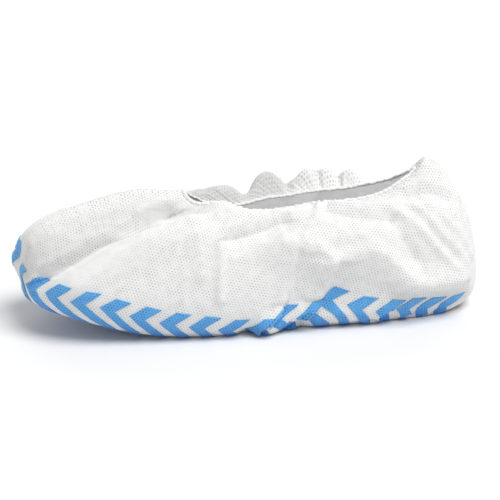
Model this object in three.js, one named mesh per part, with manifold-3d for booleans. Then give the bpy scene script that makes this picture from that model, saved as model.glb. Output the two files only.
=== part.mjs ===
// Disposable non-skid shoe cover, filled out as on a shoe and standing on its sole.
// Millimetres, +Z up. The toe points along -X, the heel along +X, and the near side is -Y.
// The cover is one folded sheet: a hollow shell with a flat sole, a toe seam over the vamp,
// a heel seam, a gathered elastic mouth and printed anti-slip chevrons round the lower edge.

import * as THREE from 'three';
import { mergeVertices } from 'three/addons/utils/BufferGeometryUtils.js';
import Module from 'manifold-3d';

// Fabric, hem and seams
const WALL = 1.2;
const SEAT_GAP = 0.4;
const HEM_RADIUS = 1.4;
const HEM_SIDES = 5;
const HEM_PUCKER = 0.2;
const SEAM_HALF_WIDTH = 1.7;
const SEAM_GAP = 0.5;
const SEAM_THICKNESS = 0.9;
const SEAM_FIRST_ROW = 2;

// Mesh density: columns run round the foot, rows run from the sole edge up to the mouth
const COLUMNS = 82;
const ROWS = 14;

const MERGE_DISTANCE = 1e-4;

// Lower bulge: how far the bilge lies from the sole edge towards the belly, in plan and in height
const BILGE_PLAN = 0.78;
const BILGE_RISE = 0.3;

// Half width of the ridge along the vamp, and the strip along the middle that belongs to no side
const RIDGE_SPAN = 12;
const MIDDLE_INNER = 1;
const MIDDLE_OUTER = 14;

// Shares of the way up a side over which folds fade in above the sole and out below the mouth
const FOLD_FADE_LOW = 0.16;
const FOLD_FADE_HIGH = 0.1;

// Gathers that the elastic draws into the mouth
const GATHER_COUNT = 21;
const GATHER_DEPTH = 1.3;
const GATHER_START = 0.7;

// Printed chevrons
const CHEVRON_COUNT = 18;
const CHEVRON_PITCH = 20.95;
const CHEVRON_START = -1;
const CHEVRON_WIDTH = 10.6;
const CHEVRON_RISE = 10.5;
const CHEVRON_SLOPE = 1.15;
const CHEVRON_FLOOR = 0.9;
const CHEVRON_CUT = 2.3;
const CHEVRON_GAP = 0.6;
const CHEVRON_REACH = 16;
const BLOCK_SIZE = 400;
const PRINT_GAP = 0.3;
const PRINT_THICKNESS = 0.5;
const PRINT_ROWS = 8;
const PRINT_MIDDLE_ROW = 3;

const table = (columns, rows) =>
  rows.map((row) => Object.fromEntries(columns.map((name, i) => [name, row[i]])));

// Guide loops from toe to heel at nine stations: place along the foot, half width and height
const STATION = ['x', 'y', 'z'];
const GUIDES = {
  edge: table(STATION, [
    [-161.5, 0, 26], [-151, 26, 22.5], [-118, 40, 13.5], [-75, 43, 3], [-25, 44, 0],
    [35, 36, 0], [92, 31, 0], [141, 20, 0], [156, 0, 0],
  ]),
  belly: table(STATION, [
    [-161.5, 0, 49], [-153.5, 32, 46], [-122, 50, 42], [-76, 55, 36], [-24, 56, 32],
    [38, 49, 30], [98, 44, 30], [150, 31, 29], [167.5, 0, 28],
  ]),
  shoulder: table(STATION, [
    [-152.5, 0, 70.5], [-142, 21, 71], [-110, 33, 74], [-72, 40, 77], [-22, 44, 73],
    [38, 42, 70], [96, 37, 75], [142, 23, 76], [157.5, 0, 73],
  ]),
  crest: table(STATION, [
    [-103, 0, 91], [-96, 10, 87.5], [-80, 19, 84.5], [-52, 25, 82.5], [-15, 29, 85],
    [38, 29, 85], [86, 24, 86], [118, 15, 94], [132.5, 0, 107.5],
  ]),
  rim: table(STATION, [
    [-46, 0, 94], [-44.5, 6, 91], [-38, 10.5, 86.5], [-16, 12.5, 82.5], [14, 14, 81.5],
    [46, 15.5, 84], [80, 15.5, 86.5], [107, 10.5, 93], [122.5, 0, 103],
  ]),
};

// Puffs of slack fabric: side (-1 near, 0 on the vamp's ridge, 1 far), place along the foot, share
// of the way up the side, spread along the foot and up the side, and reach to the toe, out and up
const PUFFS = table(['side', 'x', 'up', 'spanX', 'spanUp', 'ahead', 'out', 'rise'], [
  [0, -73, 0.9, 22, 0.2, 0, 0, 3],
  [0, 128, 0.92, 10.5, 0.09, 0, 0, 5.8],
  [-1, 112, 1, 10, 0.1, 0, 0, 3.5],
  [1, -160, 0.36, 18, 0.2, 5, 1, 0],
  [1, -17, 0.92, 18, 0.07, 0, 0, 8],
  [1, -16, 1, 20, 0.1, 0, -5, -4.5],
  [1, 2, 0.82, 6, 0.09, 0, -2, -9],
  [1, 19, 0.86, 12, 0.09, 0, 3, 9.5],
  [1, 49, 0.84, 10, 0.1, 0, 3, 10.5],
  [1, 62.5, 0.84, 7, 0.1, 0, 3, 8],
  [1, 78, 0.84, 9, 0.1, 0, 3, 9],
  [-1, -19, 0.96, 14, 0.14, 0, 1, 7],
  [-1, 55, 1, 28, 0.1, 0, 0, 2],
  [-1, 36, 0.56, 26, 0.1, 0, 4, 0],
  [-1, 88, 0.52, 24, 0.1, 0, 4, 0],
  [-1, 60, 0.36, 40, 0.1, 0, -3, 0],
  [-1, -5, 0.05, 6, 0.16, 0, -5, 0],
  [-1, 10, 0.08, 9, 0.14, 0, 9, 0],
  [-1, 30, 0.02, 8, 0.12, 0, -4, 0],
  [-1, 128, 0.2, 24, 0.14, 0, -6.5, 0],
  [1, 20, 0.1, 20, 0.16, 0, 4, 0],
]);

// Height of each side's line of chevron points above the sole edge, by place along the foot
const APEX = ['x', 'height'];
const APEX_LINES = {
  near: table(APEX, [
    [-170, 16], [-158, 12.5], [-145, 16], [-110, 19], [-80, 15.5], [-35, 9], [-12, 4.5], [40, 3],
    [65, 6], [87, -2], [110, -7], [130, -10], [150, -13], [170, -14],
  ]),
  far: table(APEX, [
    [-170, 31], [-150, 18.5], [-110, 19], [-80, 15.5], [-35, 9], [40, 6], [90, 3], [170, 1],
  ]),
};

// Tucks in the sole edge: place along the foot, cloth taken up, and lift of the print behind it
const TUCK = ['x', 'take', 'lift'];
const TUCKS = {
  near: table(TUCK, [[14, 4.5, 8], [38, 5.4, 8], [97, 4.5, 3], [118, 5.4, 0.5], [134, 5.4, 0.5]]),
  far: table(TUCK, [[26, 3.6, 4], [82, 3.6, 3]]),
};

// Folds as strokes on the side elevation: side, both ends, half width, and height of the ridge
// above the surface (a groove is negative)
const FOLDS = table(['side', 'x0', 'z0', 'x1', 'z1', 'width', 'height'], [
  [-1, -54, 88, -77, 84, 6, -4],
  [-1, -77, 84, -128, 61, 8, -5],
  [-1, -128, 61, -151, 48, 8, -3],
  [-1, -48, 80, -128, 49, 9, 3],
  [-1, -23, 68, 19, 82, 7, -5],
  [-1, -24, 71, -28, 27, 6, 2],
  [-1, 22, 70, 57, 55, 8, 4],
  [-1, 57, 55, 88, 61, 8, 4],
  [-1, 88, 61, 113, 37, 8, 4],
  [-1, 31, 66, 22, 25, 7, -3],
  [-1, 60, 53, 51, 24, 7, -4],
  [-1, 98, 79, 116, 49, 7, -3],
  [-1, 113, 81, 148, 43, 6, -3],
  [-1, 120, 83, 155, 39, 6, 3],
  [-1, 106, 34, 150, 29, 7, 4],
  [1, -44, 87, -128, 59, 9, -4],
  [1, 18, 87, -30, 42, 9, -4],
  [1, 62, 84, 40, 30, 9, -4],
  [1, 96, 83, 146, 40, 8, 3],
  [1, 110, 83, 154, 40, 8, -3],
]);

// Plain colours of the photographed fabric and print
const FABRIC_COLOUR = 0xf3f3f1;
const HEM_COLOUR = 0xe9e9e7;
const SEAM_COLOUR = 0xeeeeec;
const PRINT_COLOUR = 0x4a97dc;
const FABRIC_ROUGHNESS = 0.9;
const SEAM_ROUGHNESS = 0.8;
const PRINT_ROUGHNESS = 0.75;

const { Manifold, Mesh: ManifoldMesh } = await loadManifold();

async function loadManifold() {
  const wasm = await Module();
  wasm.setup();
  return wasm;
}

function finish(colour, roughness) {
  return new THREE.MeshStandardMaterial({ color: colour, roughness, metalness: 0 });
}

// The near half of a guide goes from toe to heel and its mirror image comes back
function guideLoop(stations) {
  const near = stations.map((p) => new THREE.Vector3(p.x, -p.y, p.z));
  const far = stations.slice(1, -1).reverse().map((p) => new THREE.Vector3(p.x, p.y, p.z));
  return new THREE.CatmullRomCurve3([...near, ...far], true);
}

// One column of the shell, from the sole edge over the belly and crest to the mouth
function sideProfile(loops, turn) {
  const at = (name) => loops[name].getPoint(turn);
  const edge = at('edge');
  edge.z = Math.max(edge.z, 0);
  const belly = at('belly');
  const bilge = edge.clone().lerp(belly, BILGE_PLAN);
  bilge.z = THREE.MathUtils.lerp(edge.z, belly.z, BILGE_RISE);
  return new THREE.CatmullRomCurve3([edge, bilge, belly, at('shoulder'), at('crest'), at('rim')]);
}

function bell(distance, span) {
  return Math.exp(-((distance / span) ** 2));
}

// How far a point belongs to one side of the foot, or to the ridge along its middle
function sideShare(p, side) {
  if (side === 0) return bell(p.y, RIDGE_SPAN);
  return THREE.MathUtils.smoothstep(p.y * side, MIDDLE_INNER, MIDDLE_OUTER);
}

function puffShift(p, up) {
  const shift = new THREE.Vector3();
  for (const puff of PUFFS) {
    const weight = bell(p.x - puff.x, puff.spanX) * bell(up - puff.up, puff.spanUp);
    const strength = weight * sideShare(p, puff.side);
    shift.x -= puff.ahead * strength;
    shift.y += puff.side * puff.out * strength;
    shift.z += puff.rise * strength;
  }
  return shift;
}

function foldHeight(p) {
  const spot = new THREE.Vector3(p.x, 0, p.z);
  const nearest = new THREE.Vector3();
  let height = 0;
  for (const fold of FOLDS) {
    const line = new THREE.Line3(
      new THREE.Vector3(fold.x0, 0, fold.z0),
      new THREE.Vector3(fold.x1, 0, fold.z1),
    );
    line.closestPointToPoint(spot, true, nearest);
    height += fold.height * bell(nearest.distanceTo(spot), fold.width) * sideShare(p, fold.side);
  }
  return height;
}

function foldFade(up) {
  const low = THREE.MathUtils.smoothstep(up, 0, FOLD_FADE_LOW);
  return low * THREE.MathUtils.smoothstep(1 - up, 0, FOLD_FADE_HIGH);
}

function gatherHeight(turn, up) {
  const grip = THREE.MathUtils.smoothstep(up, GATHER_START, 1);
  return GATHER_DEPTH * grip * Math.cos(2 * Math.PI * GATHER_COUNT * turn);
}

// Grids are lists of rows, and each row is a ring of points round the foot
function ringFaces(rows, columns, vertex) {
  const faces = [];
  for (let i = 0; i < rows - 1; i += 1) {
    for (let j = 0; j < columns; j += 1) {
      const next = (j + 1) % columns;
      faces.push([vertex(i, j), vertex(i, next), vertex(i + 1, next)]);
      faces.push([vertex(i, j), vertex(i + 1, next), vertex(i + 1, j)]);
    }
  }
  return faces;
}

// The flat bottom joins each near column to the far column that mirrors it
function soleFaces(columns, vertex) {
  const faces = [];
  for (let j = 0; j < columns / 2; j += 1) {
    const [near, nearNext] = [vertex(0, j), vertex(0, j + 1)];
    const [far, farNext] = [vertex(0, (columns - j) % columns), vertex(0, columns - j - 1)];
    if (near !== far) faces.push([near, far, nearNext]);
    if (nearNext !== farNext) faces.push([nearNext, far, farNext]);
  }
  return faces;
}

const reversed = (faces) => faces.map(([a, b, c]) => [a, c, b]);

function meshGeometry(points, faces) {
  const geometry = new THREE.BufferGeometry();
  geometry.setAttribute(
    'position',
    new THREE.Float32BufferAttribute(points.flatMap((p) => [p.x, p.y, p.z]), 3),
  );
  geometry.setIndex(faces.flat());
  return geometry;
}

// Outward normals of the outer skin, sole included, at every grid point
function skinNormals(grid) {
  const columns = grid[0].length;
  const vertex = (i, j) => i * columns + j;
  const faces = [...ringFaces(grid.length, columns, vertex), ...soleFaces(columns, vertex)];
  const geometry = meshGeometry(grid.flat(), faces);
  geometry.computeVertexNormals();
  const normals = geometry.getAttribute('normal');
  return grid.map((row, i) =>
    row.map((_, j) => new THREE.Vector3().fromBufferAttribute(normals, vertex(i, j))));
}

function offsetGrid(grid, normals, distance) {
  return grid.map((row, i) =>
    row.map((p, j) => p.clone().addScaledVector(normals[i][j], distance)));
}

function coverSkin() {
  const loops = Object.fromEntries(
    Object.entries(GUIDES).map(([name, stations]) => [name, guideLoop(stations)]),
  );
  const grid = Array.from({ length: ROWS + 1 }, () => []);
  for (let j = 0; j < COLUMNS; j += 1) {
    const profile = sideProfile(loops, j / COLUMNS);
    grid.forEach((row, i) => {
      const p = profile.getPoint(i / ROWS);
      row.push(p.add(puffShift(p, i / ROWS)));
    });
  }
  const smooth = skinNormals(grid);
  return grid.map((row, i) => row.map((p, j) => {
    const up = i / ROWS;
    const height = foldHeight(p) * foldFade(up) + gatherHeight(j / COLUMNS, up);
    return p.clone().addScaledVector(smooth[i][j], height);
  }));
}

// A closed slab between two rings of rows, open at neither end
function slabFaces(rows, columns, outer, inner) {
  const faces = [...ringFaces(rows, columns, outer), ...reversed(ringFaces(rows, columns, inner))];
  for (const [row, turned] of [[rows - 1, false], [0, true]]) {
    const band = ringFaces(2, columns, (i, j) => (i === 0 ? outer(row, j) : inner(row, j)));
    faces.push(...(turned ? reversed(band) : band));
  }
  return faces;
}

function coverBody(skin, normals) {
  const lining = offsetGrid(skin, normals, -WALL);
  const count = skin.flat().length;
  const outer = (i, j) => i * COLUMNS + j;
  const inner = (i, j) => count + outer(i, j);
  const rows = skin.length;
  const mouth = ringFaces(2, COLUMNS, (i, j) => (i === 0 ? outer(ROWS, j) : inner(ROWS, j)));
  const faces = [
    ...ringFaces(rows, COLUMNS, outer),
    ...soleFaces(COLUMNS, outer),
    ...mouth,
    ...reversed(ringFaces(rows, COLUMNS, inner)),
    ...reversed(soleFaces(COLUMNS, inner)),
  ];
  return meshGeometry([...skin.flat(), ...lining.flat()], faces);
}

// The hem is a puckered tube that carries on from the mouth's edge
function elasticHem(skin, normals) {
  const points = [];
  for (let j = 0; j < COLUMNS; j += 1) {
    const normal = normals[ROWS][j];
    const before = skin[ROWS][(j + COLUMNS - 1) % COLUMNS];
    const after = skin[ROWS][(j + 1) % COLUMNS];
    const outward = normal.clone().cross(after.clone().sub(before)).normalize();
    const radius = HEM_RADIUS - HEM_PUCKER * (j % 2);
    const centre = skin[ROWS][j].clone()
      .addScaledVector(normal, -WALL / 2)
      .addScaledVector(outward, SEAT_GAP + HEM_RADIUS);
    for (let k = 0; k < HEM_SIDES; k += 1) {
      const angle = (2 * Math.PI * (k + 0.5)) / HEM_SIDES;
      points.push(centre.clone()
        .addScaledVector(outward, radius * Math.cos(angle))
        .addScaledVector(normal, radius * Math.sin(angle)));
    }
  }
  const vertex = (i, j) => (i % COLUMNS) * HEM_SIDES + j;
  return meshGeometry(points, ringFaces(COLUMNS + 1, HEM_SIDES, vertex));
}

// A seam is a narrow welded strip that follows one column from above the sole to the mouth
function seamStrip(skin, normals, column) {
  const points = [];
  const ring = [
    { side: 1, lift: SEAM_GAP },
    { side: 0, lift: SEAM_GAP },
    { side: -1, lift: SEAM_GAP },
    { side: -1, lift: SEAM_GAP + SEAM_THICKNESS },
    { side: 0, lift: SEAM_GAP + SEAM_THICKNESS },
    { side: 1, lift: SEAM_GAP + SEAM_THICKNESS },
  ];
  for (let i = SEAM_FIRST_ROW; i <= ROWS; i += 1) {
    const centre = skin[i][column];
    for (const { side, lift } of ring) {
      const neighbour = skin[i][(column + side + COLUMNS) % COLUMNS];
      const reach = neighbour.clone().sub(centre);
      const along = side === 0 ? 0 : SEAM_HALF_WIDTH / reach.length();
      const foot = centre.clone().addScaledVector(reach, along);
      points.push(foot.addScaledVector(normals[i][column], lift));
    }
  }
  const sides = ring.length;
  const vertex = (i, j) => i * sides + j;
  const steps = ROWS - SEAM_FIRST_ROW;
  const cap = [[0, 1, 5], [1, 4, 5], [1, 2, 4], [2, 3, 4]];
  const faces = [
    ...ringFaces(steps + 1, sides, vertex),
    ...reversed(cap),
    ...cap.map((face) => face.map((k) => vertex(steps, k))),
  ];
  return meshGeometry(points, faces);
}

function toManifold(geometry) {
  const bare = geometry.clone();
  bare.deleteAttribute('normal');
  bare.deleteAttribute('uv');
  const merged = mergeVertices(bare, MERGE_DISTANCE);
  return new Manifold(new ManifoldMesh({
    numProp: 3,
    vertProperties: new Float32Array(merged.getAttribute('position').array),
    triVerts: new Uint32Array(merged.index.array),
  }));
}

function toGeometry(solid) {
  const mesh = solid.getMesh();
  const geometry = new THREE.BufferGeometry();
  geometry.setAttribute('position', new THREE.Float32BufferAttribute(mesh.vertProperties, 3));
  geometry.setIndex(Array.from(mesh.triVerts));
  return geometry;
}

// The print is cut from a thin layer over the lower rows of the skin
function printLayer(skin, normals) {
  const lower = skin.slice(0, PRINT_ROWS);
  const inner = offsetGrid(lower, normals, PRINT_GAP);
  const outer = offsetGrid(lower, normals, PRINT_GAP + PRINT_THICKNESS);
  const count = lower.flat().length;
  const outerVertex = (i, j) => i * COLUMNS + j;
  const innerVertex = (i, j) => count + outerVertex(i, j);
  const faces = slabFaces(PRINT_ROWS, COLUMNS, outerVertex, innerVertex);
  return toManifold(meshGeometry([...outer.flat(), ...inner.flat()], faces));
}

// A chevron's outline, its apex at the origin and its limbs running back along +X
function chevronShape(drop) {
  const back = (rise) => CHEVRON_SLOPE * rise;
  return new THREE.Shape([
    new THREE.Vector2(0, 0),
    new THREE.Vector2(back(drop), -drop),
    new THREE.Vector2(back(drop) + CHEVRON_WIDTH, -drop),
    new THREE.Vector2(CHEVRON_WIDTH, 0),
    new THREE.Vector2(back(CHEVRON_RISE) + CHEVRON_WIDTH, CHEVRON_RISE),
    new THREE.Vector2(back(CHEVRON_RISE), CHEVRON_RISE),
  ]);
}

function chevronPrism(apex, rearward, drop) {
  const depth = 2 * CHEVRON_REACH;
  const prism = new THREE.ExtrudeGeometry(chevronShape(drop), { depth, bevelEnabled: false });
  prism.translate(0, 0, -CHEVRON_REACH);
  const up = new THREE.Vector3(0, 0, 1);
  const across = rearward.clone().cross(up);
  prism.applyMatrix4(new THREE.Matrix4().makeBasis(rearward, up, across).setPosition(apex));
  return toManifold(prism);
}

// Line below one side's chevrons, from the toe to the heel, at the height of the sole edge
function chevronLine(skin, side) {
  const points = [];
  for (let k = 0; k <= COLUMNS / 2; k += 1) {
    const j = side < 0 ? k : (COLUMNS - k) % COLUMNS;
    const wide = skin[PRINT_MIDDLE_ROW][j];
    points.push(new THREE.Vector3(wide.x, wide.y, skin[0][j].z));
  }
  return new THREE.CatmullRomCurve3(points);
}

// Height read from a table by straight lines between its rows
function tableValue(rows, x) {
  const next = Math.max(1, rows.findIndex((row) => row.x >= x));
  const [a, b] = [rows[next - 1], rows[next]];
  return THREE.MathUtils.lerp(a.height, b.height, (x - a.x) / (b.x - a.x));
}

// Block that holds one side of the foot and stops short of both seams
function sideBlock(side) {
  const block = new THREE.BoxGeometry(BLOCK_SIZE, BLOCK_SIZE, BLOCK_SIZE);
  block.translate(0, side * (CHEVRON_CUT + BLOCK_SIZE / 2), 0);
  return toManifold(block);
}

// Behind a tuck the print moves ahead by the cloth that is taken up, and up with its flap
function tuckShift(tucks, x) {
  const passed = tucks.filter((tuck) => x > tuck.x);
  return {
    take: passed.reduce((sum, tuck) => sum + tuck.take, 0),
    lift: passed.reduce((sum, tuck) => sum + tuck.lift, 0),
  };
}

// Front point of each chevron of one side, the way to the heel there, and its drop to the floor
function chevronPlaces(skin, label, side) {
  const line = chevronLine(skin, side);
  const length = line.getLength();
  const at = (run) => line.getPointAt(THREE.MathUtils.clamp(run / length, 0, 1));
  const reach = CHEVRON_WIDTH + CHEVRON_SLOPE * CHEVRON_RISE;
  const places = [];
  for (let k = 0; k < CHEVRON_COUNT; k += 1) {
    const start = CHEVRON_START + k * CHEVRON_PITCH;
    const { take, lift } = tuckShift(TUCKS[label], at(start + reach / 2).x);
    const height = tableValue(APEX_LINES[label], at(start).x) + lift;
    const middle = start - take + reach / 2;
    const rearward = line.getTangentAt(middle / length).setZ(0).normalize();
    const apex = at(middle).addScaledVector(rearward, -reach / 2);
    apex.z = at(start - take).z + height;
    places.push({ apex, rearward, drop: height - CHEVRON_FLOOR });
  }
  return places;
}

// A chevron ends a little before the next one where a tuck or the toe's curve brings them together
function chevrons(skin, layer, label, side) {
  const half = layer.intersect(sideBlock(side));
  const places = chevronPlaces(skin, label, side);
  return places.map(({ apex, rearward, drop }, k) => {
    let cut = half.intersect(chevronPrism(apex, rearward, drop));
    const next = places[k + 1];
    if (next) {
      const ahead = next.apex.clone().addScaledVector(next.rearward, -CHEVRON_GAP);
      cut = cut.subtract(chevronPrism(ahead, next.rearward, next.drop));
    }
    const [largest] = cut.decompose().sort((a, b) => b.volume() - a.volume());
    return toGeometry(largest);
  });
}

function addPiece(group, name, geometry, colour, roughness) {
  const mesh = new THREE.Mesh(geometry, finish(colour, roughness));
  mesh.name = name;
  group.add(mesh);
}

function shoeCover() {
  const skin = coverSkin();
  const normals = skinNormals(skin);
  const layer = printLayer(skin, normals);
  const heel = COLUMNS / 2;
  const group = new THREE.Group();

  addPiece(group, 'cover_body', coverBody(skin, normals), FABRIC_COLOUR, FABRIC_ROUGHNESS);
  addPiece(group, 'elastic_hem', elasticHem(skin, normals), HEM_COLOUR, FABRIC_ROUGHNESS);
  addPiece(group, 'toe_seam', seamStrip(skin, normals, 0), SEAM_COLOUR, SEAM_ROUGHNESS);
  addPiece(group, 'heel_seam', seamStrip(skin, normals, heel), SEAM_COLOUR, SEAM_ROUGHNESS);
  for (const [label, side] of [['near', -1], ['far', 1]]) {
    chevrons(skin, layer, label, side).forEach((geometry, k) => {
      const name = `chevron_${label}_${String(k + 1).padStart(2, '0')}`;
      addPiece(group, name, geometry, PRINT_COLOUR, PRINT_ROUGHNESS);
    });
  }

  const box = new THREE.Box3().setFromObject(group);
  const middle = box.getCenter(new THREE.Vector3());
  group.position.set(-middle.x, -middle.y, -box.min.z);
  return group;
}

export default shoeCover();
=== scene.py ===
# Looks of a disposable non-skid shoe cover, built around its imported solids.
# Shapes are worked out in millimetres, toe along -X and near side along -Y, and set in metres.

import bpy
import numpy as np
from mathutils import Matrix, Vector


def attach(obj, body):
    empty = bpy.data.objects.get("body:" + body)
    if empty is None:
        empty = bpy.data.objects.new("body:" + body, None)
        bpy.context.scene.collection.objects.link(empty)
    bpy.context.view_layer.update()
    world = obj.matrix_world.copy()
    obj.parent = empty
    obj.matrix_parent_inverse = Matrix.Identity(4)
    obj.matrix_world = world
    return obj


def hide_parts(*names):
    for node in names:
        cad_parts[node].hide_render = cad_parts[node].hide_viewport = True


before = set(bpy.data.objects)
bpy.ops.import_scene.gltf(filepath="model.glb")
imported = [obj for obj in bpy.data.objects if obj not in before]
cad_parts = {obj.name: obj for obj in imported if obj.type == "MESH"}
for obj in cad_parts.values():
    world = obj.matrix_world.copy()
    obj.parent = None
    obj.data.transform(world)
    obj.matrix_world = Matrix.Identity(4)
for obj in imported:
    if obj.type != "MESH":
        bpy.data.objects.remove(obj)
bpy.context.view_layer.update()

MM = 0.001
SEED = 7
DOWN = np.array([0.0, 0.0, -1.0])
# Lengths too small to matter, which keep a division from being by zero and a row of places rising
SMALL = 1e-6
TINY = 1e-9

# Columns run round the foot from the toe, with the heel at half a turn, and rows run from the sole
# edge up to the mouth
HEEL_TURN = 0.5
# Steps round the belly that space the columns evenly, across the sole, and along a side to find
# a place on it
SPREAD_STEPS = 960
SOLE_STEPS = 10
SIDE_STEPS = 240
# Share of the rows that lie below each share of the way up, so that the rows are evenly spaced
ROW_SHARES = [(0, 0), (0.1, 0.2), (0.26, 0.4), (0.62, 0.6), (0.81, 0.8), (1, 1)]

# Fabric: its thickness, its lift off the floor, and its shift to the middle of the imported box
FABRIC_THICKNESS = 0.45
SOLE_LIFT = 0.7
FRAME_SHIFT = (-1.1, 0.5)
# Lower bulge: how far the bilge lies from the sole edge towards the belly, in plan and in height
BILGE_PLAN = 0.78
BILGE_RISE = 0.3
# Half width of the ridge along the vamp, and the strip along the middle that belongs to no side
RIDGE_SPAN = 12
MIDDLE_INNER = 1
MIDDLE_OUTER = 14

# Guide loops from toe to heel at nine stations: place along the foot, half width and height
GUIDES = {
    "edge": [(-161.5, 0, 26), (-151, 26, 22.5), (-118, 40, 13.5), (-75, 43, 3), (-25, 44, 0),
             (35, 36, 0), (92, 31, 0), (141, 20, 0), (156, 0, 0)],
    "belly": [(-161.5, 0, 49), (-153.5, 32, 46), (-122, 50, 42), (-76, 55, 36), (-24, 56, 32),
              (38, 49, 30), (98, 44, 30), (150, 31, 29), (167.5, 0, 28)],
    "shoulder": [(-152.5, 0, 70.5), (-142, 21, 71), (-110, 33, 74), (-72, 40, 77), (-22, 44, 73),
                 (38, 42, 70), (96, 37, 75), (142, 23, 76), (157.5, 0, 73)],
    "crest": [(-103, 0, 91), (-96, 10, 87.5), (-80, 19, 84.5), (-52, 25, 82.5), (-15, 29, 85),
              (38, 29, 85), (86, 24, 86), (118, 15, 94), (132.5, 0, 107.5)],
    "rim": [(-46, 0, 94), (-44.5, 6, 91), (-38, 10.5, 86.5), (-16, 12.5, 82.5), (14, 14, 81.5),
            (46, 15.5, 84), (80, 15.5, 86.5), (107, 10.5, 93), (122.5, 0, 103)],
}

# Puffs of slack fabric: side (-1 near, 0 on the vamp's ridge, 1 far), place along the foot, share
# of the way up the side, spread along the foot and up the side, and reach to the toe, out and up
PUFFS = [
    (0, -73, 0.9, 22, 0.2, 0, 0, 3),
    (0, 129, 0.92, 13, 0.09, 0, 0, 4.8),
    (-1, 112, 1, 10, 0.1, 0, 0, 3.5),
    (1, -160, 0.36, 18, 0.2, 5, 1, 0),
    (1, -17, 0.92, 18, 0.07, 0, 0, 8),
    (1, -16, 1, 20, 0.1, 0, -5, -4.5),
    (1, 2, 0.82, 6, 0.09, 0, -2, -9),
    (1, 19, 0.86, 12, 0.09, 0, 3, 9.5),
    (1, 49, 0.84, 10, 0.1, 0, 3, 10.5),
    (1, 62.5, 0.84, 7, 0.1, 0, 3, 8),
    (1, 78, 0.84, 9, 0.1, 0, 3, 9),
    (-1, -19, 0.96, 14, 0.14, 0, 1, 7),
    (-1, 55, 1, 28, 0.1, 0, 0, 2),
    (-1, 36, 0.56, 26, 0.1, 0, 4, 0),
    (-1, 88, 0.52, 24, 0.1, 0, 4, 0),
    (-1, 60, 0.36, 40, 0.1, 0, -3, 0),
    (-1, -5, 0.05, 6, 0.16, 0, -5, 0),
    (-1, 10, 0.08, 9, 0.14, 0, 9, 0),
    (-1, 30, 0.02, 8, 0.12, 0, -4, 0),
    (-1, 128, 0.2, 24, 0.14, 0, -6.5, 0),
    (1, 20, 0.1, 20, 0.16, 0, 4, 0),
]

# Folds as strokes: side, height of the ridge (a groove is negative), reach above and below the
# stroke, and its points as place along the foot and share of the way up the side
FOLDS = [
    (-1, -10, 4.5, 9,
     [(-58, 0.90), (-65, 0.855), (-75, 0.768), (-100, 0.60), (-128, 0.50), (-151, 0.405)]),
    (-1, 4.6, 7, 13, [(-45, 0.71), (-78, 0.573), (-101, 0.525), (-127, 0.455)]),
    (-1, -1.6, 4, 4, [(-60, 0.85), (-102, 0.73), (-134, 0.66)]),
    (-1, -2.0, 4, 4, [(-70, 0.74), (-96, 0.69), (-122, 0.64)]),
    (-1, 2.4, 3, 3,
     [(-4, 0.80), (-10, 0.76), (-16, 0.71), (-20, 0.64), (-24, 0.58), (-26, 0.48), (-26, 0.40)]),
    (-1, -7.0, 5, 7, [(-14, 0.60), (-5, 0.63), (8, 0.677), (20, 0.73)]),
    (-1, 1.6, 6, 6, [(-42, 0.72), (-40, 0.58), (-39, 0.48)]),
    (-1, 2.4, 3, 3, [(50, 0.95), (47, 0.76), (41, 0.68), (36, 0.62)]),
    (-1, -3.0, 4, 6, [(54, 0.82), (69, 0.72), (82, 0.67), (98, 0.64)]),
    (-1, 2.5, 5, 5, [(60, 0.90), (80, 0.80), (98, 0.74)]),
    (-1, 3.5, 4, 13, [(21, 0.60), (36, 0.59), (44, 0.58), (48, 0.557), (52, 0.53), (57, 0.515)]),
    (-1, 4.0, 4.5, 13,
     [(57, 0.515), (65, 0.52), (83, 0.535), (90, 0.52), (98, 0.49), (106, 0.463), (113, 0.432)]),
    (-1, -2.2, 2.5, 12, [(31, 0.55), (29.5, 0.51), (26, 0.45), (23, 0.345)]),
    (-1, -3.4, 2.5, 14, [(60, 0.508), (57, 0.465), (54, 0.413), (51, 0.35)]),
    (-1, -2.6, 5, 6, [(98, 0.64), (107, 0.54), (116, 0.48)]),
    (-1, 2.0, 4, 3, [(105, 0.67), (122, 0.56), (135, 0.49), (146, 0.45)]),
    (-1, -1.5, 3, 3, [(113, 0.66), (129, 0.55), (148, 0.46)]),
    (-1, 2.0, 4, 3, [(120, 0.67), (136, 0.54), (155, 0.45)]),
    (-1, 2.0, 3.5, 2.5, [(127, 0.67), (144, 0.56), (160, 0.46)]),
    (-1, -3.2, 4, 4, [(111, 0.79), (122, 0.75), (132, 0.71), (142, 0.66)]),
    (-1, 4.5, 9, 7, [(106, 0.42), (126, 0.40), (150, 0.40)]),
    (1, -4.0, 6, 10, [(-44, 0.85), (-90, 0.62), (-128, 0.5)]),
    (1, -3.0, 6, 8, [(18, 0.75), (0, 0.6), (-30, 0.45)]),
    (1, 2.4, 6, 6, [(-8, 0.7), (-20, 0.55), (-24, 0.35)]),
    (1, -3.5, 6, 8, [(62, 0.72), (50, 0.55), (40, 0.4)]),
    (1, 2.5, 7, 5, [(24, 0.62), (44, 0.55), (66, 0.5)]),
    (1, -2.5, 2.5, 2.5, [(33, 0.96), (33, 0.88), (30, 0.74)]),
    (1, -2.2, 2, 2, [(56, 0.96), (56, 0.88), (53, 0.76)]),
    (1, -2.2, 2, 2, [(70, 0.96), (70, 0.88), (67, 0.78)]),
    (1, -2.2, 2, 2, [(90, 0.96), (90, 0.88), (86, 0.78)]),
    (1, 2.5, 5, 5, [(96, 0.7), (120, 0.56), (146, 0.45)]),
    (1, -2.5, 5, 5, [(110, 0.68), (132, 0.55), (154, 0.45)]),
]
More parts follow.
